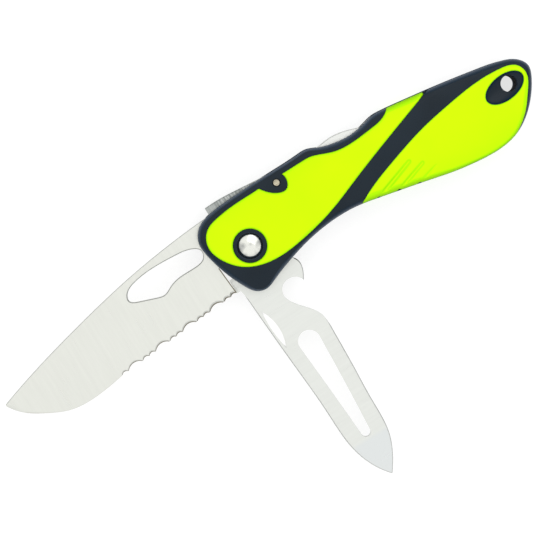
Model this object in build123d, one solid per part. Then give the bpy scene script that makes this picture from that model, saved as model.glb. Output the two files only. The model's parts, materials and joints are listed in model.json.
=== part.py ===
from build123d import *
import math
import os

# A folding rigging knife lying on its side: a serrated blade over a shackle key,
# both on one pivot, each held by its own rocking lock bar.
# +X runs from the pivot to the lanyard eye, +Y to the spine, +Z up through the knife.
# The origin is where the pivot axis meets the face that the knife lies on.

# Layers of the handle, in mm
scale_height = 4.1
liner_thickness = 1.0
slot_width = 3.0
plate_thickness = 0.8
tool_thickness = 2.5
bar_thickness = 2.8
washer_thickness = 0.2
far_liner_z = scale_height
key_slot_z = far_liner_z + liner_thickness
plate_z = key_slot_z + slot_width
blade_slot_z = plate_z + plate_thickness
near_liner_z = blade_slot_z + slot_width
near_scale_z = near_liner_z + liner_thickness
overall_thickness = near_scale_z + scale_height
mid_plane = Plane.XY.offset(overall_thickness / 2)

# Scales and grips
handle_middle_x = 46.0
inner_length_share, inner_width_share = 0.996, 0.984
shell_crest = 3.85
edge_round = 3.0
crown_land = 5.0
crown_radius = 60.0
crown_centre_y = 1.0
grip_floor = 1.4
front_grip_round = 0.6
groove_radius = 0.8
groove_depth = 0.45
groove_foot_x, groove_foot_y = 0.3, 0.5
groove_lines = [((43.6, -8.6), (58.0, -3.5)), ((50.4, -9.9), (61.5, -6.2)), ((57.2, -11.5), (64.7, -9.2))]

# Pivot
pivot_radius = 3.0
pivot_bore = 3.05
pivot_boss_radius = 5.45
pivot_head_radius = 3.85
pivot_head_recess = 4.3
boss_round = 0.35
pivot_head_seat = 1.6
pivot_head_rim = 2.9
pivot_head_top = 4.0
pivot_screw_radius = 1.6
pivot_screw_length = 9.0
far_head_bevel = 0.4
spanner_hole_radius = 0.6
spanner_hole_offset = 2.4
spanner_hole_depth = 0.9
washer_radius = 5.0

# Tang and lock
tang_radius = 11.0
notch_radius = 9.9
notch_wall = 6.6
tooth_radius = 11.2
tooth_x = (-2.5, -6.2)
blade_open_notch = (101.5, 131.0)
key_open_notch = (191.5, 221.0)
blade_closed_notch = (-72.5, -45.5)
key_notches = [(101.5, 128.5), (13.5, 40.5)]
spring_middle_x, spring_y = 52.0, 10.525
spring_length, spring_thickness = 14.0, 0.45
spring_tip_x, spring_tip_radius = 45.3, 0.3
spring_pocket_x, spring_pocket_length = 55.25, 7.5
spring_side_gap = 0.2
lock_pin_x, lock_pin_y = 17.8, 12.8
lock_pin_radius = 1.0
lock_pin_bore = 1.05
lock_pin_recess = 1.4
lock_pin_end = 3.4
lock_pin_recess_depth = 0.7
bar_chamfer = 0.25

# Lanyard eye
eye_x, eye_y = 97.9, 0.8
eye_radius = 2.7
dish_x, dish_y = 95.8, 0.4
dish_half_length, dish_half_width, dish_depth = 7.1, 4.0, 2.0
dish_tilt = 7.0

# Rivets through the rear spacers
rivet_places = [(62.0, 12.2), (88.0, 7.0)]
rivet_radius = 1.1
rivet_in_shell = 1.2

# Blade
spine_y = 14.5
grind_slope = 0.027
grind_taper = 0.004
grind_start_x = -11.05
serration_start = (-57.3, -14.4)
serration_end = (-12.6, -11.0)
serration_tilt = -40.0
serration_edge_z = -0.4
edge_angle = 16.0
edge_half_thickness = 0.04
hole_chamfer = 0.3
spine_chamfer = 0.2
wide_scallop, wide_depth = 5.9, 1.1
narrow_scallop, narrow_depth = 2.45, 0.5

# Shackle key
key_taper_start_y = -74.0
key_taper_slope = 0.055
key_chamfer = 0.3
nail_slot_depth = 0.8


def lift(shape, height):
    return Pos(0, 0, height) * shape


def plate(outline, bottom, thickness):
    # A flat piece: the outline carried straight up from its bottom face.
    return lift(extrude(outline, amount=thickness, dir=(0, 0, 1)), bottom)


def region(*edges):
    return make_face([*edges])


def outline_points():
    nose_and_spine = [(-13.85, 7.6), (-13.0, 10.9), (-10.6, 13.6), (-6.0, 15.3), (2.0, 16.1), (16.0, 16.55)]
    thumb_notch = [(28.0, 16.8), (31.6, 16.75), (35.2, 15.3), (40, 13.9), (45.5, 13.3), (51, 14.0)]
    rear_spine = [(55.5, 15.0), (58, 14.95), (66, 14.0), (80, 12.0), (92, 9.95), (99.5, 8.3)]
    butt = [(104.3, 5.9), (106.3, 2.6), (105.2, -1.4), (102, -6.3), (97, -11.3), (91, -14.6)]
    belly = [(84, -15.75), (76, -15.3), (68, -14.1), (60, -12.3), (50, -10.1), (43, -8.6), (37, -7.45)]
    waist = [(31, -7.0), (24, -7.35), (16, -8.7), (8, -11.0), (1.5, -13.4)]
    chin = [(-2.8, -14.7), (-6.0, -13.6), (-8.4, -10.3), (-10.6, -5.6), (-12.3, -0.6), (-13.4, 4.0)]
    return nose_and_spine + thumb_notch + rear_spine + butt + belly + waist + chin


def handle_outline():
    return region(Spline(*outline_points(), periodic=True))


def inner_outline():
    # The outline drawn in towards the middle, for the parts between the scales.
    def drawn_in(x, y):
        return (handle_middle_x + (x - handle_middle_x) * inner_length_share, y * inner_width_share)

    return region(Spline(*[drawn_in(x, y) for x, y in outline_points()], periodic=True))


def crown(crest):
    # A long bar with a flat land along its top that falls away to both sides.
    reach = 20.0
    half = reach / 2
    fall = crown_radius - math.sqrt(crown_radius**2 - reach**2)
    half_fall = crown_radius - math.sqrt(crown_radius**2 - half**2)
    high = crown_centre_y + crown_land
    low = crown_centre_y - crown_land
    far_high = (high + reach, crest - fall)
    far_low = (low - reach, crest - fall)
    section = Plane.YZ * region(
        Line((low, crest), (high, crest)),
        ThreePointArc((high, crest), (high + half, crest - half_fall), far_high),
        Polyline(far_high, (high + reach, -1), (low - reach, -1), far_low),
        ThreePointArc(far_low, (low - half, crest - half_fall), (low, crest)),
    )
    return Pos(-20, 0, 0) * extrude(section, amount=140, dir=(1, 0, 0))


def scale_form(crest):
    block = extrude(handle_outline(), amount=scale_height, dir=(0, 0, 1))
    rim = block.edges().group_by(Axis.Z)[-1]
    return fillet(rim, radius=edge_round) & crown(crest)


def front_panel():
    # The front grip stops short of the rim, dips round the rocker pin and runs out over the spine.
    nose = Spline(
        (12, 14.2), (4, 14.0), (-4, 13.2), (-9.5, 11.1), (-11.8, 6.3), (-10.2, 0.7), (-6, -4.3), (0, -7.2),
        (6, -8.05), (14, -7.4), (28, -4.2), (40, 0.3), (60, 7.6), (75.8, 13.0),
    )
    over_spine = Polyline((75.8, 13.0), (78, 16.5), (60.6, 17.5), (60.3, 14.8))
    notch_side = Spline((60.3, 14.8), (58, 13.0), (52, 11.7), (45, 11.1), (38, 11.9), (32, 14.1), (29, 14.4))
    spine_side = Line((29, 14.4), (20.5, 14.3))
    pin_tab = Spline((20.5, 14.3), (20.9, 11.6), (19.5, 9.5), (16.2, 10.0), (13.6, 12.1), (12, 14.2))
    return region(nose, over_spine, notch_side, spine_side, pin_tab)


def rear_panel():
    # The rear grip wraps over the belly and ends in a round nose behind the lanyard eye.
    upper = Spline(
        (37.3, -7.6), (44, -4.2), (54, -0.6), (66, 3.0), (78, 5.3), (88, 6.6), (97, 6.5), (103.2, 4.2),
        (104.2, 0.4), (102, -4.0), (98, -9.3), (92.3, -13.9),
    )
    over_belly = Polyline((92.3, -13.9), (91, -18), (60, -18), (37, -10), (37.3, -7.6))
    return region(upper, over_belly)


def dish_outline():
    return Pos(dish_x, dish_y, 0) * Rot(0, 0, dish_tilt) * Ellipse(dish_half_length, dish_half_width)


def groove_cutter(start, end):
    # A rod that starts in the belly edge of the grip and climbs out through its top.
    # It has an upright notch at its foot.
    length = math.dist(start, end)
    turn = math.degrees(math.atan2(end[1] - start[1], end[0] - start[0]))
    climb = math.degrees(math.atan2(groove_depth, length))
    rod = Rot(0, 90, 0) * Cylinder(groove_radius, length, align=(Align.CENTER, Align.CENTER, Align.MIN))
    tilted = Rot(0, 0, turn) * Rot(0, -climb, 0) * rod
    foot_height = scale_height - groove_depth + groove_radius - groove_foot_x
    notch = extrude(Circle(groove_radius), amount=scale_height, dir=(0, 0, 1))
    foot = Pos(start[0] - groove_foot_x, start[1] - groove_foot_y, 0) * notch
    return Pos(start[0], start[1], foot_height) * tilted + foot


def front_grip():
    opening = Circle(pivot_boss_radius)
    grip = scale_form(scale_height) & plate(front_panel() - opening, grip_floor, scale_height)
    rim = [e for e in grip.edges() if e.geom_type != GeomType.LINE and e.center().Z > grip_floor + 1]
    return fillet(rim, radius=front_grip_round)


def rear_grip():
    grip = scale_form(scale_height) & plate(rear_panel() - dish_outline(), grip_floor, scale_height)
    for start, end in groove_lines:
        grip -= groove_cutter(start, end)
    return grip


def scale_shell():
    shell = scale_form(shell_crest)
    shell -= plate(front_panel() - Circle(pivot_boss_radius), grip_floor, scale_height)
    shell -= plate(rear_panel() - dish_outline(), grip_floor, scale_height)
    shell -= extrude(Circle(pivot_radius), amount=scale_height, dir=(0, 0, 1))
    shell -= plate(Circle(pivot_head_recess), pivot_head_seat, scale_height)
    circles = [e for e in shell.edges() if e.geom_type == GeomType.CIRCLE and e.radius < pivot_boss_radius + 0.1]
    boss_rim = [e for e in circles if e.center().Z > shell_crest - 0.01]
    shell = fillet(boss_rim, boss_round)
    pin = Pos(lock_pin_x, lock_pin_y, 0)
    shell -= pin * extrude(Circle(lock_pin_radius), amount=lock_pin_end, dir=(0, 0, 1))
    shell -= pin * plate(Circle(lock_pin_recess), lock_pin_end - lock_pin_recess_depth, scale_height)
    for x, y in rivet_places:
        shell -= Pos(x, y, 0) * extrude(Circle(rivet_radius), amount=rivet_in_shell, dir=(0, 0, 1))
    dish = scale(Sphere(1), by=(dish_half_length, dish_half_width, dish_depth))
    shell -= Pos(dish_x, dish_y, shell_crest) * Rot(0, 0, dish_tilt) * dish
    shell -= Pos(eye_x, eye_y, 0) * extrude(Circle(eye_radius), amount=scale_height, dir=(0, 0, 1))
    return shell


def round_hole(x, y, radius):
    return Pos(x, y, 0) * extrude(Circle(radius), amount=overall_thickness, both=True)


def without_rivets_and_eye(body):
    for x, y in rivet_places:
        body -= round_hole(x, y, rivet_radius)
    return body - round_hole(eye_x, eye_y, eye_radius)


def flat_liner(bottom, thickness):
    body = without_rivets_and_eye(plate(inner_outline(), bottom, thickness))
    body -= round_hole(0, 0, pivot_radius)
    return body - round_hole(lock_pin_x, lock_pin_y, lock_pin_radius)


def slot_spacer(bottom):
    # Fills the back of a tool slot, clear of the closed tool's edge and tip.
    tool_room = region(
        Polyline((96.2, -8.5), (96.6, -25), (-30, -25), (-30, 25), (51.5, 25), (51.5, 9.75), (64, 9.75)),
        Spline(
            (64, 9.75), (74, 8.9), (80, 7.3), (85, 4.6), (89, 1.6), (92.6, -1.7), (95, -5.2), (96.2, -8.5),
        ),
    )
    body = plate(inner_outline(), bottom, slot_width)
    body -= extrude(tool_room, amount=overall_thickness, dir=(0, 0, 1))
    pocket = Pos(spring_pocket_x, spring_y, 0) * Rectangle(spring_pocket_length, spring_thickness)
    body -= plate(pocket, bottom, slot_width)
    return without_rivets_and_eye(body)


def leaf_spring():
    strip = Pos(spring_middle_x, spring_y, 0) * Rectangle(spring_length, spring_thickness)
    tip = Pos(spring_tip_x, spring_y + 0.075, 0) * Circle(spring_tip_radius)
    return plate(strip + tip, spring_side_gap, slot_width - 2 * spring_side_gap)


def ring_sector(start_angle, end_angle):
    # The part of the tang that the lock tooth drops into.
    outer = tang_radius + 0.6
    return region(
        CenterArc((0, 0), notch_radius, start_angle, end_angle - start_angle),
        Line(polar(notch_radius, end_angle), polar(outer, end_angle)),
        CenterArc((0, 0), outer, start_angle, end_angle - start_angle),
        Line(polar(outer, start_angle), polar(notch_radius, start_angle)),
    )


def polar(radius, angle):
    turn = math.radians(angle)
    return (radius * math.cos(turn), radius * math.sin(turn))


def thumb_hole():
    return region(
        Spline(
            (-42.7, 5.7), (-41.6, 7.6), (-38, 9.2), (-30, 10.05), (-22, 9.7), (-16.6, 8.6), (-14.4, 6.6),
            (-15.2, 4.2), (-18, 3.2), (-24, 3.1), (-29, 1.9), (-31.8, 0.7), (-34.5, 1.2), (-39.5, 3.0),
            periodic=True,
        )
    )


def belly_edge():
    return Spline((-94.6, -3.2), (-90, -8.6), (-84, -12.3), (-78, -15.0), (-69, -15.9), serration_start)


def blade_face():
    spine = Spline((-notch_wall, 15.0), (-20, 13.95), (-40, 11.2), (-60, 7.0), (-80, 1.9), (-94.4, -2.6))
    point = Line((-94.4, -2.6), (-94.6, -3.2))
    heel = Polyline(
        serration_start, serration_end, (-11.7, -11.0), (-12.4, -1.0), (-9, -1.0), (-5, 5), (-notch_wall, 7),
    )
    wall = Line((-notch_wall, 7), (-notch_wall, 15.0))
    face = region(spine, point, belly_edge(), heel, wall) + Circle(tang_radius)
    open_notch = ring_sector(*blade_open_notch) - Pos(-notch_wall - 5, 10, 0) * Rectangle(10, 20)
    return face - open_notch - ring_sector(*blade_closed_notch) - thumb_hole() - Circle(pivot_bore)


def grind_cut():
    # The space above a full flat grind that thins the blade from spine to edge and towards the tip.
    half = tool_thickness / 2
    slope = Plane((grind_start_x, spine_y, half), (1, 0, grind_taper), (-grind_taper, -grind_slope, 1))
    above = slope * Box(220, 80, 4, align=(Align.CENTER, Align.CENTER, Align.MIN))
    zone = Pos(grind_start_x, 0, 0) * Box(100, 60, 6, align=(Align.MAX, Align.CENTER, Align.CENTER))
    return above & zone


def edge_cut():
    # The space above the sharpened strip along the plain part of the edge.
    edge = belly_edge()
    across = (edge % 0).rotate(Axis.Z, 90)
    slope = math.tan(math.radians(edge_angle))
    section = Plane(edge @ 0, across, edge % 0) * region(
        Polyline(
            (-1, edge_half_thickness - slope),
            (3, edge_half_thickness + 3 * slope),
            (3, 3),
            (-1, 3),
            close=True,
        )
    )
    return sweep(section, path=edge)


def scallop(x, y, width, depth):
    # A leaning cutter, so that the scallop's wall is a bevel that shows on the near side.
    radius = width**2 / (8 * depth) + depth / 2
    reach = radius / math.cos(math.radians(serration_tilt))
    cutter = Rot(serration_tilt, 0, 0) * Cylinder(radius, 14)
    return Pos(x, y - reach + depth, serration_edge_z) * cutter


def serrations():
    # A single narrow scallop, then groups of one wide scallop and two narrow ones.
    run = serration_end[0] - serration_start[0]
    rise = serration_end[1] - serration_start[1]
    wide = (wide_scallop, wide_depth)
    narrow = (narrow_scallop, narrow_depth)
    pattern = [narrow] + [wide, narrow, narrow] * 4
    x = serration_start[0]
    cutters = []
    for width, depth in pattern:
        middle = x + width / 2
        y = serration_start[1] + rise * (middle - serration_start[0]) / run
        cutters.append(scallop(middle, y, width, depth))
        x += width
    return cutters


def cut_both_faces(body, cutter):
    return body - cutter - mirror(cutter, about=Plane.XY)


def blade():
    body = extrude(blade_face(), amount=tool_thickness / 2, both=True)
    body = cut_both_faces(body, grind_cut())
    body = cut_both_faces(body, edge_cut())
    long_edges = [e for e in body.edges() if e.length > 50 and abs(e.center().Z) > 0.5 and e.center().Y > 0]
    hole_rim = [e for e in long_edges if e.center().X > -40]
    body = chamfer(hole_rim, hole_chamfer)
    long_edges = [e for e in body.edges() if e.length > 70 and abs(e.center().Z) > 0.5 and e.center().Y > 0]
    body = chamfer(long_edges, spine_chamfer)
    for cutter in serrations():
        body -= cutter
    return lift(body, blade_slot_z + slot_width / 2)


def key_slot():
    round_top = (3.7, -37.4)
    return region(
        ThreePointArc((-round_top[0], -37.4), (0, -33.25), round_top),
        Spline(round_top, (3.3, -46), (2.7, -57), (1.7, -72.0)),
        ThreePointArc((1.7, -72.0), (0.1, -73.5), (-1.45, -72.0)),
        Spline((-1.45, -72.0), (-2.35, -57), (-3.1, -46), (-round_top[0], -37.4)),
    )


def nail_slot():
    return region(
        ThreePointArc((-8.2, -20.6), (-6.1, -28.6), (-7.5, -34.8)),
        ThreePointArc((-7.5, -34.8), (-8.5, -27.6), (-8.2, -20.6)),
    )


def key_face():
    back = Spline((-10.1, -13), (-9.5, -24), (-8.5, -40), (-7.3, -60), (-6.0, -76), (-3, -83.5), (0.4, -88.2))
    front = Spline((0.4, -88.2), (4, -82.6), (6.5, -76.3), (7.4, -64), (8.0, -52), (8.6, -36))
    beak = Line((8.6, -36), (8.4, -33.0))
    opener = Spline(
        (8.4, -33.0), (5.5, -27.7), (2, -23.5), (0.7, -20), (2.4, -16.8), (5, -16.1), (8.9, -19.0),
    )
    hook = Spline((8.9, -19.0), (10.4, -16.2), (10.9, -13.6), (9.7, -10.9))
    tang = Polyline((9.7, -10.9), (8, -6), (0, 0), (-5, -notch_wall), (-11.8, -notch_wall), (-11.8, -11.4))
    step = Polyline((-11.8, -11.4), (-10.4, -11.4), (-10.1, -13))
    face = region(back, front, beak, opener, hook, tang, step) + Circle(tang_radius)
    face -= ring_sector(*key_open_notch) - Pos(-10, -notch_wall - 5, 0) * Rectangle(20, 10)
    for notch in key_notches:
        face -= ring_sector(*notch)
    return face - key_slot() - Circle(pivot_bore)


def shackle_key():
    half = tool_thickness / 2
    body = extrude(key_face(), amount=half, both=True)
    slope = Plane((0, key_taper_start_y, half), (1, 0, 0), (0, -key_taper_slope, 1))
    above = slope * Pos(0, -20, 0) * Box(40, 40, 4, align=(Align.CENTER, Align.CENTER, Align.MIN))
    body = cut_both_faces(body, above)
    curved = [e for e in body.edges() if e.geom_type == GeomType.BSPLINE and abs(e.center().Z) > half - 0.01]
    outer_edges = [e for e in curved if abs(e.center().X) > 5]
    body = chamfer(outer_edges, key_chamfer)
    body -= plate(nail_slot(), half - nail_slot_depth, 2)
    return lift(body, key_slot_z + slot_width / 2)


def lock_bar_face():
    top = Spline((-6.2, 17.6), (0, 17.7), (8, 17.1), (16, 16.4), (28, 15.7), (34, 15.3))
    pad = Spline((34, 15.3), (37, 15.75), (40.5, 16.0), (44, 15.6), (47, 14.8), (49.6, 13.9))
    tail = Polyline((49.6, 13.9), (50.4, 13.2), (50.4, 10.95), (20, 10.95))
    boss = ThreePointArc((20, 10.95), (17.8, 10.75), (15.6, 11.4))
    tooth_angles = [math.degrees(math.acos(x / tooth_radius)) for x in tooth_x]
    tooth = CenterArc((0, 0), tooth_radius, tooth_angles[0], tooth_angles[1] - tooth_angles[0])
    front = Line(tooth @ 1, (-6.2, 17.6))
    neck = Polyline((15.6, 11.4), (2, 12.4), (-2.5, 12.4), tooth @ 0)
    bar = region(top, pad, tail, boss, neck, tooth, front)
    return bar - Pos(lock_pin_x, lock_pin_y, 0) * Circle(lock_pin_bore)


def lock_bar(slot_bottom):
    bar = extrude(lock_bar_face(), amount=bar_thickness, dir=(0, 0, 1))
    rim = [e for e in bar.edges() if e.geom_type == GeomType.BSPLINE and e.center().Y > 13.5]
    bar = chamfer(rim, bar_chamfer)
    return lift(bar, slot_bottom + (slot_width - bar_thickness) / 2)


def dome_head():
    # A low domed disc standing on its seat.
    rise = pivot_head_top - pivot_head_rim
    radius = (pivot_head_radius**2 + rise**2) / (2 * rise)
    section = Plane.XZ * region(
        Polyline((0, pivot_head_top), (0, pivot_head_seat), (pivot_head_radius, pivot_head_seat),
                 (pivot_head_radius, pivot_head_rim)),
        RadiusArc((pivot_head_radius, pivot_head_rim), (0, pivot_head_top), -radius),
    )
    return revolve(section, Axis.Z, 360)


def pivot_pin():
    near_seat = near_scale_z + pivot_head_seat
    far_seat = scale_height - pivot_head_seat
    shank = plate(Circle(pivot_radius), far_seat + 0.2, near_seat - far_seat - 0.2)
    thread = plate(Circle(pivot_screw_radius), far_seat, pivot_screw_length)
    return lift(dome_head(), near_scale_z) + shank - thread


def pivot_screw():
    # Its flat head lies level with the far grip and has two holes for a pin spanner.
    head_height = scale_height - pivot_head_seat
    head = extrude(Circle(pivot_head_radius), amount=head_height, dir=(0, 0, 1))
    head = chamfer(head.edges().group_by(Axis.Z)[0], far_head_bevel)
    for x in (-spanner_hole_offset, spanner_hole_offset):
        head -= Pos(x, 0, 0) * extrude(Circle(spanner_hole_radius), amount=spanner_hole_depth, dir=(0, 0, 1))
    thread = plate(Circle(pivot_screw_radius), head_height, pivot_screw_length - 0.5)
    return head + thread


def pivot_washers():
    ring = Circle(washer_radius) - Circle(pivot_bore)
    bottoms = [
        key_slot_z,
        plate_z - washer_thickness,
        blade_slot_z,
        near_liner_z - washer_thickness,
    ]
    return Compound([plate(ring, bottom, washer_thickness) for bottom in bottoms])


def lock_pin():
    bottom = scale_height - lock_pin_end
    pin = plate(Circle(lock_pin_radius), bottom, overall_thickness - 2 * bottom)
    return Pos(lock_pin_x, lock_pin_y, 0) * pin


def handle_rivets():
    bottom = scale_height - rivet_in_shell
    rivet = plate(Circle(rivet_radius), bottom, overall_thickness - 2 * bottom)
    return Compound([Pos(x, y, 0) * rivet for x, y in rivet_places])


def write_near_and_far(name, near):
    save("near_" + name, near)
    save("far_" + name, mirror(near, about=mid_plane))


def save(name, shape):
    export_step(shape, f"parts/{name}.step")


def main():
    os.makedirs("parts", exist_ok=True)
    write_near_and_far("scale_shell", lift(scale_shell(), near_scale_z))
    write_near_and_far("front_grip", lift(front_grip(), near_scale_z))
    write_near_and_far("rear_grip", lift(rear_grip(), near_scale_z))
    write_near_and_far("liner", flat_liner(near_liner_z, liner_thickness))
    save("centre_plate", flat_liner(plate_z, plate_thickness))
    for name, slot_bottom in (("blade", blade_slot_z), ("key", key_slot_z)):
        save(name + "_slot_spacer", slot_spacer(slot_bottom))
        save(name + "_lock_bar", lock_bar(slot_bottom))
        save(name + "_lock_spring", lift(leaf_spring(), slot_bottom))
    save("blade", blade())
    save("shackle_key", shackle_key())
    save("pivot_pin", pivot_pin())
    save("pivot_screw", pivot_screw())
    save("pivot_washers", pivot_washers())
    save("lock_pin", lock_pin())
    save("handle_rivets", handle_rivets())


main()
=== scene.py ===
import json
import math
import bpy
from mathutils import Matrix, Vector

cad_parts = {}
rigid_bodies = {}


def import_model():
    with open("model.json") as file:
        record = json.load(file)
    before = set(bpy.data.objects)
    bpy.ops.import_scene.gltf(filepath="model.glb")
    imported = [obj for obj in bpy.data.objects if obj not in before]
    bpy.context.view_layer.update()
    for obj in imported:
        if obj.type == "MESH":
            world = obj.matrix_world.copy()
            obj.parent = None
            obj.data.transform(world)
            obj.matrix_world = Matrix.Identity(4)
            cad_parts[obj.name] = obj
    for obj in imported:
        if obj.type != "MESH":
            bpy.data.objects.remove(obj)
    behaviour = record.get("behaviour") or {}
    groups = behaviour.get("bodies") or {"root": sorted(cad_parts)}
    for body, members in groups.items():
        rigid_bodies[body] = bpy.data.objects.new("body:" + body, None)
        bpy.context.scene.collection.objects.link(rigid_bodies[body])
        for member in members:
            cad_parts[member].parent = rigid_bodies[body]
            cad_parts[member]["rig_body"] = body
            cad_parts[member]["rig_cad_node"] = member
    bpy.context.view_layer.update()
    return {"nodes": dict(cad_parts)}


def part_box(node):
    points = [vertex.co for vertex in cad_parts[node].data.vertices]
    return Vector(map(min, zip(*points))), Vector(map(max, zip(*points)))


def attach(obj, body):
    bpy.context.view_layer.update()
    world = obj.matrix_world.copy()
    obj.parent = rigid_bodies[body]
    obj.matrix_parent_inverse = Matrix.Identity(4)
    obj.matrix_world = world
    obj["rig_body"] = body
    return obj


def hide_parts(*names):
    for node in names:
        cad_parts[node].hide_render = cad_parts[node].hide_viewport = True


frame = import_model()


class Value:
    # One number in a shader, so that sums on it can be written as plain maths.
    def __init__(self, shader, socket):
        self.shader = shader
        self.socket = socket

    def step(self, operation, *values):
        made = self.shader.node("ShaderNodeMath", {"operation": operation}, values)
        return Value(self.shader, made.outputs[0])

    def __add__(self, other):
        return self.step("ADD", self, other)

    def __radd__(self, other):
        return self.step("ADD", other, self)

    def __sub__(self, other):
        return self.step("SUBTRACT", self, other)

    def __rsub__(self, other):
        return self.step("SUBTRACT", other, self)

    def __mul__(self, other):
        return self.step("MULTIPLY", self, other)

    def __rmul__(self, other):
        return self.step("MULTIPLY", other, self)

    def __pow__(self, other):
        return self.step("POWER", self, other)

    def abs(self):
        return self.step("ABSOLUTE", self)

    def clamp(self):
        return self.step("MINIMUM", self.step("MAXIMUM", self, 0), 1)


class Nodes:
    # Short ways to add nodes to one node tree.
    def __init__(self, tree):
        self.tree = tree

    def plug(self, socket, value):
        if isinstance(value, Value):
            self.tree.links.new(value.socket, socket)
        elif isinstance(value, bpy.types.NodeSocket):
            self.tree.links.new(value, socket)
        else:
            socket.default_value = value

    def node(self, kind, settings, inputs):
        made = self.tree.nodes.new(kind)
        for name, value in settings.items():
            setattr(made, name, value)
        pairs = inputs.items() if isinstance(inputs, dict) else enumerate(inputs)
        for key, value in pairs:
            self.plug(made.inputs[key], value)
        return made

    def axes(self, vector):
        split = self.node("ShaderNodeSeparateXYZ", {}, {"Vector": vector})
        return [Value(self, split.outputs[i]) for i in range(3)]

    def between(self, value, low, high, newLow, newHigh, curve="LINEAR"):
        settings = {"clamp": True, "interpolation_type": curve}
        made = self.node("ShaderNodeMapRange", settings, [value, low, high, newLow, newHigh])
        return Value(self, made.outputs[0])


class Shader(Nodes):
    # A material with one Principled BSDF, whose fixed sockets are set as it is made.
    def __init__(self, name, **fixed):
        self.material = bpy.data.materials.new(name)
        self.material.use_nodes = True
        super().__init__(self.material.node_tree)
        self.surface = self.tree.nodes["Principled BSDF"]
        self.feed(**fixed)

    def upright(self):
        # 1 on a face that looks straight up or down, 0 on a vertical wall
        return self.axes(self.node("ShaderNodeNewGeometry", {}, {}).outputs["Normal"])[2].abs()

    def place(self):
        return self.node("ShaderNodeTexCoord", {}, {}).outputs["Object"]

    def noise(self, vector, scale, detail, roughness=0.5):
        inputs = {"Vector": vector, "Scale": scale, "Detail": detail, "Roughness": roughness}
        return Value(self, self.node("ShaderNodeTexNoise", {}, inputs).outputs[0])

    def lines(self, streaks):
        # grinding marks, finer along the axes with a larger number
        stretched = self.node("ShaderNodeMapping", {}, {"Vector": self.place(), "Scale": streaks})
        return self.noise(stretched.outputs[0], 1.0, 4, 0.6)

    def mix(self, factor, first, second):
        # 6, 7 and the output 2 are the node's colour sockets
        return self.node("ShaderNodeMix", {"data_type": "RGBA"}, {0: factor, 6: first, 7: second}).outputs[2]

    def bump(self, height, distance, strength):
        inputs = {"Height": height, "Distance": distance, "Strength": strength}
        return self.node("ShaderNodeBump", {}, inputs).outputs[0]

    def feed(self, **links):
        for socket, value in links.items():
            self.plug(self.surface.inputs[socket.replace("_", " ")], value)
        return self.material


viewSetup = {
    "turn": math.radians(31.6),        # the handle rises to the right in the view
    "centre": (0.00087, -0.00888),     # metres, the point of the knife that the camera looks at
    "middle": 0.0085,                  # and the height of that point, half the knife's thickness
    "height": 0.76,                    # camera to knife
    "lean": (-0.010, 0.044),           # how far the camera stands off that point, along the view's axes
    "width": 0.1727,                   # width of the view at the knife
    "nearest": 0.01,                   # nothing closer to the camera is drawn
}

def viewAxes():
    turn = viewSetup["turn"]
    right = Vector((math.cos(turn), -math.sin(turn), 0))
    up = Vector((math.sin(turn), math.cos(turn), 0))
    return right, up

def addCamera():
    right, up = viewAxes()
    target = Vector((*viewSetup["centre"], viewSetup["middle"]))
    leanRight, leanUp = viewSetup["lean"]
    place = target + right * leanRight + up * leanUp + Vector((0, 0, viewSetup["height"]))
    back = (place - target).normalized()
    across = up.cross(back).normalized()
    rise = back.cross(across)
    bpy.ops.object.camera_add(location=place)
    camera = bpy.context.object
    camera.matrix_world = Matrix((
        (across.x, rise.x, back.x, place.x),
        (across.y, rise.y, back.y, place.y),
        (across.z, rise.z, back.z, place.z),
        (0, 0, 0, 1),
    ))
    camera.data.lens_unit = "FOV"
    camera.data.angle = 2 * math.atan(viewSetup["width"] / 2 / (place - target).length)
    camera.data.clip_start = viewSetup["nearest"]
    bpy.context.scene.camera = camera
    print("camera is up")

bpy.ops.object.select_all(action="DESELECT")
addCamera()

lightSetup = {
    "overhead": 1.16,      # brightness of the soft white ceiling
    "horizon": 0.42,       # and of the studio's walls, which the slopes of the metal reflect
    "wallTop": 0.12,       # where the walls end and the ceiling begins, as the height of a unit ray
    "ceiling": 0.78,
    "keyWatts": 1.6,       # large soft panel overhead, towards the spine side
    "panelSize": 0.9,
    "panelPlace": (0.25, 0.55, 0.75),     # metres to the view's right, to its top, and up
}

def addStudio():
    world = bpy.data.worlds.new("studio")
    world.use_nodes = True
    nodes = Nodes(world.node_tree)
    height = nodes.axes(nodes.node("ShaderNodeTexCoord", {}, {}).outputs["Generated"])[2]
    walls, ceiling, dim, bright = (lightSetup[key] for key in ("wallTop", "ceiling", "horizon", "overhead"))
    background = nodes.tree.nodes["Background"]
    strength = nodes.between(height, walls, ceiling, dim, bright, "SMOOTHSTEP")
    nodes.plug(background.inputs["Color"], (1, 1, 1, 1))
    nodes.plug(background.inputs["Strength"], strength)
    bpy.context.scene.world = world

def addKeyPanel():
    right, up = viewAxes()
    alongRight, alongUp, height = lightSetup["panelPlace"]
    place = right * alongRight + up * alongUp + Vector((0, 0, height))
    bpy.ops.object.light_add(type="AREA", location=place)
    panel = bpy.context.object
    panel.name = "keyPanel"
    panel.data.energy = lightSetup["keyWatts"]
    panel.data.size = lightSetup["panelSize"]
    panel.rotation_euler = place.to_track_quat("Z", "Y").to_euler()

addStudio()
addKeyPanel()
bpy.context.scene.view_settings.view_transform = "Standard"
print("lights are up")

noiseBand = {               # the values of a noise pattern between which a finish changes
    "soft": (0.3, 0.7),
    "lines": (0.35, 0.65),
    "worn": (0.45, 0.85),
}

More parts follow.
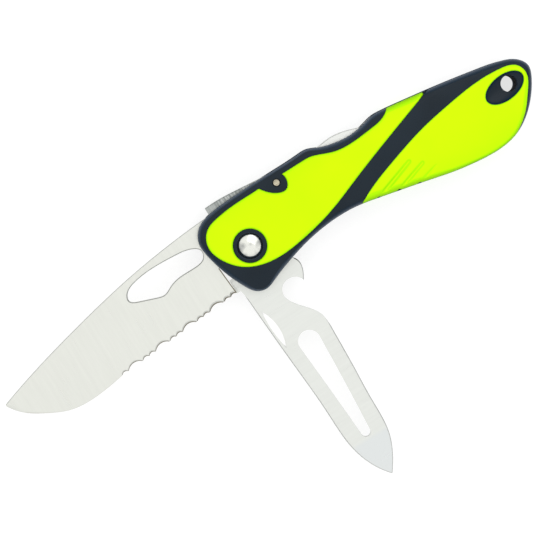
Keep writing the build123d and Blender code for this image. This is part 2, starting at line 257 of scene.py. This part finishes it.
# In each finish a tilt is how upright a face is where a colour starts and where it is full,
# a bump is its depth in metres and its strength, and a roughness is its value at the low and
# at the high end of the noise.
gripFinish = {
    "green": (0.625, 1.0, 0.0, 1),
    "yellower": (0.665, 1.0, 0.0, 1),
    "fallingShade": (0.46, 0.95, 0.0, 1),    # painted shade where the rubber curves away and in the creases
    "fallingShadeTilt": (0.999, 0.965),
    "rim": (0.26, 0.60, 0.0, 1),        # painted shade on the steep rounded rim
    "rimTilt": (0.92, 0.4),
    "shine": 0.06,
    "roughness": (0.5, 0.64),
    "grain": 2600,
    "clouds": 60,
    "bump": (0.00004, 0.5),
}

def gripRubber():
    shader = Shader("gripRubber", Specular_IOR_Level=gripFinish["shine"])
    grain = shader.noise(shader.place(), gripFinish["grain"], 3)
    cloud = shader.noise(shader.place(), gripFinish["clouds"], 2)
    up = shader.upright()
    patches = shader.between(cloud, *noiseBand["soft"], 0, 1)
    top = shader.mix(patches, gripFinish["green"], gripFinish["yellower"])
    # painted shade: the green darkens where the rubber curves away and in the creases, and further on the
    # steep rim
    fallingShade = shader.mix(shader.between(up, *gripFinish["fallingShadeTilt"], 0, 1), top, gripFinish["fallingShade"])
    return shader.feed(
        Base_Color=shader.mix(shader.between(up, *gripFinish["rimTilt"], 0, 1), fallingShade, gripFinish["rim"]),
        Roughness=shader.between(grain, *noiseBand["soft"], *gripFinish["roughness"]),
        Normal=shader.bump(grain, *gripFinish["bump"]))


shellFinish = {
    "navy": (0.0020, 0.0090, 0.0165, 1),
    "paler": (0.0045, 0.0135, 0.0235, 1),
    "edge": (0.012, 0.034, 0.066, 1),   # a painted bluish sheen on the rounded rims
    "edgeTilt": (0.95, 0.4),
    "shine": 0.22,
    "roughness": (0.26, 0.38),
    "wallRoughness": 0.6,               # added on the upright walls of the bores, which are left as moulded
    "wallTilt": (0.3, 0.1),
    "grain": 3000,
    "clouds": 80,
    "bump": (0.00003, 0.35),
}

def shellPlastic():
    shader = Shader("shellPlastic", Specular_IOR_Level=shellFinish["shine"])
    grain = shader.noise(shader.place(), shellFinish["grain"], 3)
    cloud = shader.noise(shader.place(), shellFinish["clouds"], 2)
    up = shader.upright()
    patches = shader.between(cloud, *noiseBand["soft"], 0, 1)
    flat = shader.mix(patches, shellFinish["navy"], shellFinish["paler"])
    walls = shader.between(up, *shellFinish["wallTilt"], 0, shellFinish["wallRoughness"])
    rough = shader.between(grain, *noiseBand["soft"], *shellFinish["roughness"])
    # painted highlight: the rounded rims turn to a bluish sheen
    return shader.feed(
        Base_Color=shader.mix(shader.between(up, *shellFinish["edgeTilt"], 0, 1), flat, shellFinish["edge"]),
        Roughness=(rough + walls).clamp(), Normal=shader.bump(grain, *shellFinish["bump"]))


groundMetal = {
    "clouds": 90,
    "cloudShare": 0.3,            # how much the clouds add to the marks in the roughness
    "slopeTilt": (0.985, 0.9),    # of chamfers and ground edges
    "bump": (0.000006, 0.4),
}

def ground(shader, finish):
    # The colour, roughness and surface of metal that was ground along one direction.
    lines = shader.lines(finish["streaks"])
    cloud = shader.noise(shader.place(), groundMetal["clouds"], 2)
    darker = [finish["contrast"] * part for part in finish["tone"]]
    colour = shader.mix(shader.between(lines, *noiseBand["lines"], 0, 1), (*darker, 1), (*finish["tone"], 1))
    worn = lines + cloud * groundMetal["cloudShare"]
    rough = shader.between(worn, *noiseBand["worn"], *finish["roughness"])
    return colour, rough, shader.bump(lines, *groundMetal["bump"])

springFinish = {
    "tone": (0.4, 0.4, 0.4),
    "contrast": 0.965,            # brightness of the grinding marks, as a share of the tone
    "roughness": (0.27, 0.34),
    "streaks": (60, 900, 900),
}

# the steel pin's darker, warmer tone is painted: shade from its recess and a warm painted highlight
pinFinish = {
    "tone": (0.62, 0.56, 0.42),
    "contrast": 0.45,
    "roughness": (0.13, 0.20),
    "streaks": (300, 2500, 300),
}

def brushedSteel(name, finish):
    shader = Shader(name, Metallic=1.0)
    colour, rough, normal = ground(shader, finish)
    return shader.feed(Base_Color=colour, Roughness=rough, Normal=normal)


linerFinish = {
    "tone": (0.5, 0.5, 0.485),
    "contrast": 0.965,
    "roughness": (0.29, 0.36),
    "streaks": (60, 900, 900),
    "eye": (0.0979, 0.0008),            # middle of the lanyard eye, whose deep walls get painted shade in black
    "eyeReach": (0.0030, 0.0029),       # the painted shade starts and is full this far from it
    "eyeShade": (0.010, 0.013, 0.018, 1),
}

def linerSteel():
    shader = Shader("linerSteel")
    colour, rough, normal = ground(shader, linerFinish)
    along, across = shader.axes(shader.place())[:2]
    eyeX, eyeY = linerFinish["eye"]
    distance = ((along - eyeX) ** 2 + (across - eyeY) ** 2) ** 0.5
    # painted shade: the liner steel round the lanyard eye is painted black, dull and not metallic, for the
    # deep bore
    eyeShade = shader.between(distance, *linerFinish["eyeReach"], 0, 1)
    return shader.feed(
        Base_Color=shader.mix(eyeShade, colour, linerFinish["eyeShade"]), Metallic=1 - eyeShade,
        Roughness=(rough + eyeShade).clamp(), Normal=normal)


bladeFinish = {
    "tone": (0.705, 0.715, 0.665),
    "contrast": 0.965,
    "roughness": (0.27, 0.34),
    "streaks": (900, 60, 900),            # ground across the blade, from the spine to the edge
    "slopeShade": (0.60, 0.61, 0.58, 1),      # a darker painted reflection on the chamfers, and on the sharpened strip
    "shade": (0.17, 0.15, 0.10, 1),       # painted shade on the foot of the serrations, the edge at the point and the heel
    "serrations": (-0.0579, -0.0575),     # each pair is where a shade starts and where it is full
    "point": (-0.0790, -0.0850),
    "belly": (-0.0080, -0.0085),
    "lowerHalf": (0.0001, -0.0002),       # measured from the blade's middle plane
    "heelTop": (-0.0124, -0.0010),        # the square heel, whose corner gets a dark painted shadow of the gap between heel and key
    "heelLean": -0.07,
    "heelLine": (-0.00035, -0.00025),     # measured from the leaning edge of the heel
    "heelEnd": (0.0010, 0.0008),          # measured from heelTop, along the blade
    "heelFade": -0.0004,                  # and across it
}

def bladeSteel(middleZ):
    shader = Shader("bladeSteel", Metallic=1.0)
    colour, rough, normal = ground(shader, bladeFinish)
    along, across, height = shader.axes(shader.place())

    # painted shade at the foot of the serrations below the middle plane, and along the edge at the point
    serrated = shader.between(along, *bladeFinish["serrations"], 0, 1)
    serrated = serrated * shader.between(height - middleZ, *bladeFinish["lowerHalf"], 0, 1)
    pointed = shader.between(along, *bladeFinish["point"], 0, 1)
    serrationPointShade = (serrated + pointed).clamp() * shader.between(across, *bladeFinish["belly"], 0, 1)
    # painted reflection: the chamfers and the sharpened strip are darker
    slopeShade = shader.mix(serrationPointShade, bladeFinish["slopeShade"], bladeFinish["shade"])
    slope = shader.between(shader.upright(), *groundMetal["slopeTilt"], 0, 1)

    # painted shadow: a dark line along the heel's leaning edge, for the gap between the heel and the key
    heelX, heelY = bladeFinish["heelTop"]
    fromEdge = along - (across - heelY) * bladeFinish["heelLean"] - heelX
    heelShadow = shader.between(fromEdge, *bladeFinish["heelLine"], 0, 1)
    heelShadow = heelShadow * shader.between(along - heelX, *bladeFinish["heelEnd"], 0, 1)
    heelShadow = heelShadow * shader.between(across - heelY, 0, bladeFinish["heelFade"], 0, 1)
    colour = shader.mix(heelShadow, shader.mix(slope, colour, slopeShade), bladeFinish["shade"])
    return shader.feed(Base_Color=colour, Roughness=rough, Normal=normal)


keyFinish = {
    "tone": (0.70, 0.715, 0.68),
    "contrast": 0.965,
    "roughness": (0.27, 0.36),
    "streaks": (60, 900, 900),
    "groundTip": (0.665, 0.69, 0.685, 1),    # the tip is ground thinner and looks cooler
    "tip": (-0.0735, -0.0750),               # where that starts and where it is full
    # a darker painted reflection on the chamfers and ground edges
    "slopeShade": (0.56, 0.57, 0.55, 1),
    "slotFloorLight": (0.93, 0.93, 0.92, 1),       # painted light on its milled floor, which reads brighter than the faces
    "slotFloor": 0.0007,                     # that floor lies between this and twice it under the face
    "slotBlur": 0.00002,
    "slotReach": (-0.040, -0.039),
}

def keySteel(topZ):
    shader = Shader("keySteel", Metallic=1.0)
    colour, rough, normal = ground(shader, keyFinish)
    across, height = shader.axes(shader.place())[1:]
    colour = shader.mix(shader.between(across, *keyFinish["tip"], 0, 1), colour, keyFinish["groundTip"])
    # painted reflection: the chamfers and ground edges are darker
    slope = shader.between(shader.upright(), *groundMetal["slopeTilt"], 0, 1)
    colour = shader.mix(slope, colour, keyFinish["slopeShade"])

    # painted light: the floor of the nail slot is painted brighter than the faces
    shallow = topZ - keyFinish["slotFloor"]
    deep = topZ - 2 * keyFinish["slotFloor"]
    litSlotFloor = shader.between(height, shallow, shallow - keyFinish["slotBlur"], 0, 1)
    litSlotFloor = litSlotFloor * shader.between(height, deep, deep + keyFinish["slotBlur"], 0, 1)
    litSlotFloor = litSlotFloor * shader.between(across, *keyFinish["slotReach"], 0, 1) * (1 - slope)
    colour = shader.mix(litSlotFloor, colour, keyFinish["slotFloorLight"])
    return shader.feed(Base_Color=colour, Roughness=rough, Normal=normal)


lockFinish = {
    "nose": (0.50, 0.52, 0.50, 1),       # ground in coarse rows
    "rowShade": (0.20, 0.22, 0.21, 1),
    "rows": (1500, 120, 120),
    "pad": (0.72, 0.73, 0.70, 1),        # the release pad is polished by the thumb
    "padStart": (0.026, 0.030),
    "roughness": (0.34, 0.24),           # the bright rows are the smoother ones
    "bump": (0.00002, 0.5),
}

def lockSteel():
    shader = Shader("lockSteel", Metallic=1.0)
    rows = shader.lines(lockFinish["rows"])
    crests = shader.between(rows, *noiseBand["lines"], 0, 1)
    nose = shader.mix(crests, lockFinish["rowShade"], lockFinish["nose"])
    onPad = shader.between(shader.axes(shader.place())[0], *lockFinish["padStart"], 0, 1)
    return shader.feed(
        Base_Color=shader.mix(onPad, nose, lockFinish["pad"]),
        Roughness=shader.between(rows, *noiseBand["lines"], *lockFinish["roughness"]),
        Normal=shader.bump(rows, *lockFinish["bump"]))


domeFinish = {
    "tone": (0.74, 0.745, 0.69, 1),
    "paintedReflection": (0.30, 0.31, 0.30, 1),      # painted reflection: dull patches that stand in for what a polished head reflects
    "paintedReflectionEdge": (0.36, 0.52),
    "patches": 230,
    "patchDetail": 0.4,
    "scratches": 2500,
    "roughness": (0.12, 0.2),
    "bump": (0.0002, 0.5),
}

def polishedSteel():
    shader = Shader("polishedSteel", Metallic=1.0)
    patch = shader.noise(shader.place(), domeFinish["patches"], 2, domeFinish["patchDetail"])
    fine = shader.noise(shader.place(), domeFinish["scratches"], 2)
    # painted reflection in dull patches over the head
    awayFromReflection = shader.between(patch, *domeFinish["paintedReflectionEdge"], 0, 1)
    return shader.feed(
        Base_Color=shader.mix(awayFromReflection, domeFinish["paintedReflection"], domeFinish["tone"]),
        Roughness=shader.between(fine, *noiseBand["soft"], *domeFinish["roughness"]),
        Normal=shader.bump(patch, *domeFinish["bump"]))


washerFinish = {
    "serrationPointShade": (0.45, 0.25, 0.1, 1),
    "light": (0.6, 0.36, 0.16, 1),
    "clouds": 700,
    "roughness": (0.25, 0.4),
}

def washerBronze():
    shader = Shader("washerBronze", Metallic=1.0)
    cloud = shader.noise(shader.place(), washerFinish["clouds"], 3)
    return shader.feed(
        Base_Color=shader.mix(cloud, washerFinish["serrationPointShade"], washerFinish["light"]),
        Roughness=shader.between(cloud, *noiseBand["soft"], *washerFinish["roughness"]))


# Each finish is a material and the record's slot for it, found by the end of a node's name.
rubberFinish = (gripRubber(), "grip_rubber")
plateFinish = (linerSteel(), "liner_steel")
polishedFinish = (polishedSteel(), "polished_steel")
bladeMiddle = sum(corner[2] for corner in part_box("blade")) / 2
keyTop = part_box("shackle_key")[1][2]
finishOf = {
    "front_grip": rubberFinish,
    "rear_grip": rubberFinish,
    "scale_shell": (shellPlastic(), "shell_plastic"),
    "liner": plateFinish,
    "plate": plateFinish,
    "rivets": plateFinish,
    "spacer": (plateFinish[0], "spacer_steel"),
    "blade": (bladeSteel(bladeMiddle), "blade_steel"),
    "shackle_key": (keySteel(keyTop), "blade_steel"),
    "lock_bar": (lockSteel(), "lock_steel"),
    "lock_spring": (brushedSteel("springSteel", springFinish), "spring_steel"),
    "pivot_pin": polishedFinish,
    "pivot_screw": polishedFinish,
    "lock_pin": (brushedSteel("pinSteel", pinFinish), "polished_steel"),
    "washers": (washerBronze(), "washer_bronze"),
}

def finishFor(nodeName):
    return finishOf[max((key for key in finishOf if nodeName.endswith(key)), key=len)]

def paint(thing, material):
    thing.data.materials.clear()
    thing.data.materials.append(material)

for nodeName, node in frame["nodes"].items():
    paint(node, finishFor(nodeName)[0])
print("CAD parts are painted")

mergeDistance = 0.000001     # metres, corners of triangles closer than this are joined

def onlySelect(thing):
    bpy.ops.object.select_all(action="DESELECT")
    thing.select_set(True)
    bpy.context.view_layer.objects.active = thing

def mergedCopy(nodeName, pieceName):
    # A piece of its own with the node's exact shape, its loose triangles joined.
    onlySelect(frame["nodes"][nodeName])
    bpy.ops.object.duplicate()
    piece = bpy.context.object
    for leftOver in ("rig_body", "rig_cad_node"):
        del piece[leftOver]
    piece.parent = None
    piece.name = pieceName
    piece.data.name = pieceName
    onlySelect(piece)
    bpy.ops.object.mode_set(mode="EDIT")
    bpy.ops.mesh.select_all(action="SELECT")
    bpy.ops.mesh.customdata_custom_splitnormals_clear()
    bpy.ops.mesh.remove_doubles(threshold=mergeDistance)
    bpy.ops.object.mode_set(mode="OBJECT")
    return piece

def addModifier(piece, kind, **settings):
    onlySelect(piece)
    bpy.ops.object.modifier_add(type=kind)
    modifier = piece.modifiers[-1]
    for name, value in settings.items():
        setattr(modifier, name, value)
    bpy.ops.object.modifier_apply(modifier=modifier.name)

def standFor(piece, nodeName):
    material, slot = finishFor(nodeName)
    paint(piece, material)
    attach(piece, frame["nodes"][nodeName]["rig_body"])
    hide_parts(nodeName)

mouldedGrip = {
    "voxel": 0.00024,     # fine enough to keep the three creases
    "roundings": 3,       # passes that soften the rims of the rubber
    "softness": 0.5,      # how far each pass goes
}

def mouldGrip(nodeName):
    piece = mergedCopy(nodeName, nodeName + "_moulded")
    addModifier(piece, "REMESH", mode="VOXEL", voxel_size=mouldedGrip["voxel"])
    addModifier(piece, "SMOOTH", factor=mouldedGrip["softness"], iterations=mouldedGrip["roundings"])
    onlySelect(piece)
    bpy.ops.object.shade_smooth()
    standFor(piece, nodeName)

smoothed = {
    "sharpAngle": math.radians(32),   # a steeper fold between two faces stays a sharp edge
    "faceWeight": 80,                 # above 50, the large faces decide the shading and stay flat
    "nodes": [
        "near_scale_shell", "far_scale_shell", "blade", "shackle_key", "blade_lock_bar", "key_lock_bar",
        "pivot_pin", "pivot_screw", "lock_pin",
    ],
}

def smoothPart(nodeName):
    piece = mergedCopy(nodeName, nodeName + "_finished")
    onlySelect(piece)
    bpy.ops.object.shade_smooth_by_angle(angle=smoothed["sharpAngle"])
    addModifier(piece, "WEIGHTED_NORMAL", keep_sharp=True, weight=smoothed["faceWeight"])
    standFor(piece, nodeName)

for nodeName in sorted(frame["nodes"]):
    if nodeName.endswith("_grip"):
        mouldGrip(nodeName)
print("grips are moulded")

for nodeName in smoothed["nodes"]:
    smoothPart(nodeName)
print("metal and shells are smoothed")

floorSetup = {
    "size": 6.0,
    "drop": 0.0002,                      # metres under the knife
    "paper": (0.32, 0.32, 0.32, 1),
    "paler": (0.35, 0.35, 0.35, 1),
    "clouds": 5,
    "roughness": 0.8,
    "shine": 0.1,
    "glow": 0.74,                        # a lit white table, so that shadows stay faint
}

def addFloor():
    bpy.ops.mesh.primitive_plane_add(size=floorSetup["size"], location=(0, 0, -floorSetup["drop"]))
    floor = bpy.context.object
    floor.name = "floor"
    shader = Shader(
        "floorPaper", Roughness=floorSetup["roughness"], Specular_IOR_Level=floorSetup["shine"],
        Emission_Color=(1, 1, 1, 1), Emission_Strength=floorSetup["glow"])
    cloud = shader.noise(shader.place(), floorSetup["clouds"], 2)
    colour = shader.mix(cloud, floorSetup["paper"], floorSetup["paler"])
    floor.data.materials.append(shader.feed(Base_Color=colour))

addFloor()
print("floor is down")
